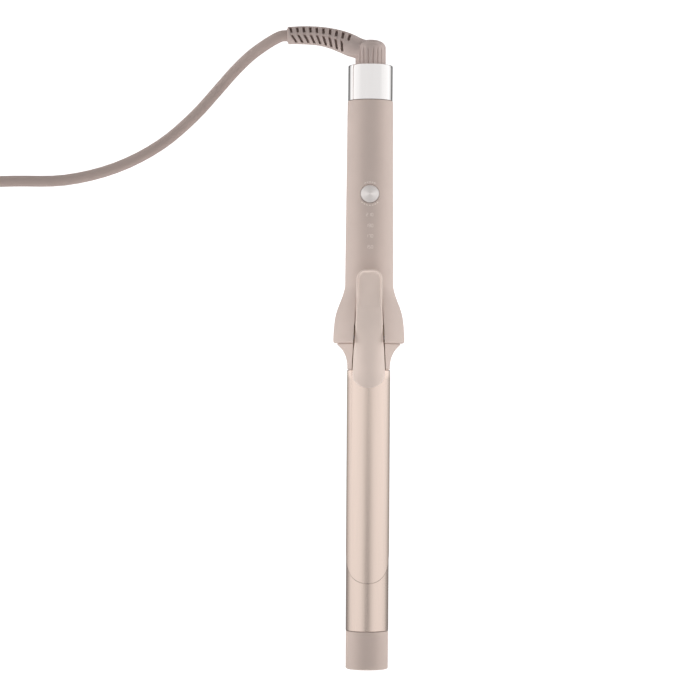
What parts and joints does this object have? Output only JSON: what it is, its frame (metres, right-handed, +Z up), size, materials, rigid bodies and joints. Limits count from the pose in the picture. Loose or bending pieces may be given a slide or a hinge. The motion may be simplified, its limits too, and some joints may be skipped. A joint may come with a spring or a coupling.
{
  "type": "curling iron",
  "caption": "Electric curling iron with a spring clamp and thumb lever, round push button, polished end ring, swivel elbow cord exit and mains lead with plug.",
  "frame": {"origin": "centre of the rest flat under the guard, where the iron touches the table", "axes": "+Z up, away from the table; +Y along the iron towards the cord end, 2.5 degrees down from the iron's own axis; +X to the right when the lever faces up"},
  "size_m": [0.3442, 0.3762, 0.0462],
  "materials": {
    "handle_plastic": "matt moulded",
    "lever_plastic": "matt moulded",
    "cordset": "matt flexible",
    "champagne_metal": "satin coated",
    "chrome": "polished",
    "spun_metal": "spun",
    "steel": "plain",
    "brass": "plain",
    "dark_plastic": "moulded",
    "board": "laminate",
    "ceramic": "fired",
    "bare_aluminium": "extruded",
    "heat_resistant_plastic": "moulded",
    "insulation_red": "plain",
    "insulation_white": "sleeved",
    "light_guide": "clear"
  },
  "bodies": {
    "root": {"handle_front_shell": "handle_plastic", "handle_rear_shell": "handle_plastic", "handle_screw_a": "steel", "handle_screw_b": "steel", "neck_cone": "handle_plastic", "hinge_pin": "steel", "barrel_tube": "champagne_metal", "cool_tip_cap": "handle_plastic", "tip_snap_ring": "steel", "barrel_mount": "heat_resistant_plastic", "heat_barrier": "ceramic", "spreader_upper": "bare_aluminium", "spreader_lower": "bare_aluminium", "heater_plate": "ceramic", "thermistor_bead": "insulation_red", "end_ring": "chrome", "brush_a": "brass", "brush_b": "brass", "brush_carrier": "dark_plastic", "control_board": "board", "tact_switch": "dark_plastic", "mode_light_guide": "light_guide", "triac": "dark_plastic", "film_capacitor": "insulation_red", "controller_chip": "dark_plastic", "thermal_fuse": "insulation_white", "mains_wire_a": "insulation_red", "mains_wire_b": "dark_plastic", "heater_lead_a": "insulation_white", "heater_lead_b": "insulation_white", "cord_run": "cordset", "cord_coil": "cordset", "cord_tie": "dark_plastic", "cord_tail": "cordset", "plug_body": "cordset", "plug_pin_a": "steel", "plug_pin_b": "steel"},
    "clamp": {"clamp_plate": "champagne_metal", "thumb_lever": "lever_plastic", "clamp_screw_a": "steel", "clamp_screw_b": "steel", "clamp_spring": "steel"},
    "button": {"power_button": "spun_metal"},
    "swivel": {"swivel_elbow": "cordset", "strain_relief": "cordset", "swivel_clip": "steel", "slip_ring_a": "brass", "slip_ring_b": "brass"}
  },
  "joints": [
    {"name": "clamp_hinge", "type": "hinge", "parent": "root", "child": "clamp", "pos_m": [0, -0.00461, 0.03338], "axis": [-1, 0, 0], "range_deg": [0, 16], "stiffness_Nm_per_rad": 0.35, "springref_deg": -63.03, "deforming": ["clamp_spring"]},
    {"name": "power_button_press", "type": "slide", "parent": "root", "child": "button", "axis": [0, -0.0436, -0.999], "range_m": [0, 0.0008], "stiffness_N_per_m": 900, "springref_m": -0.0012},
    {"name": "cord_swivel", "type": "hinge", "parent": "root", "child": "swivel", "pos_m": [0, 0.15465, 0.01291], "axis": [0, 0.999, -0.0436], "continuous": true}
  ]
}
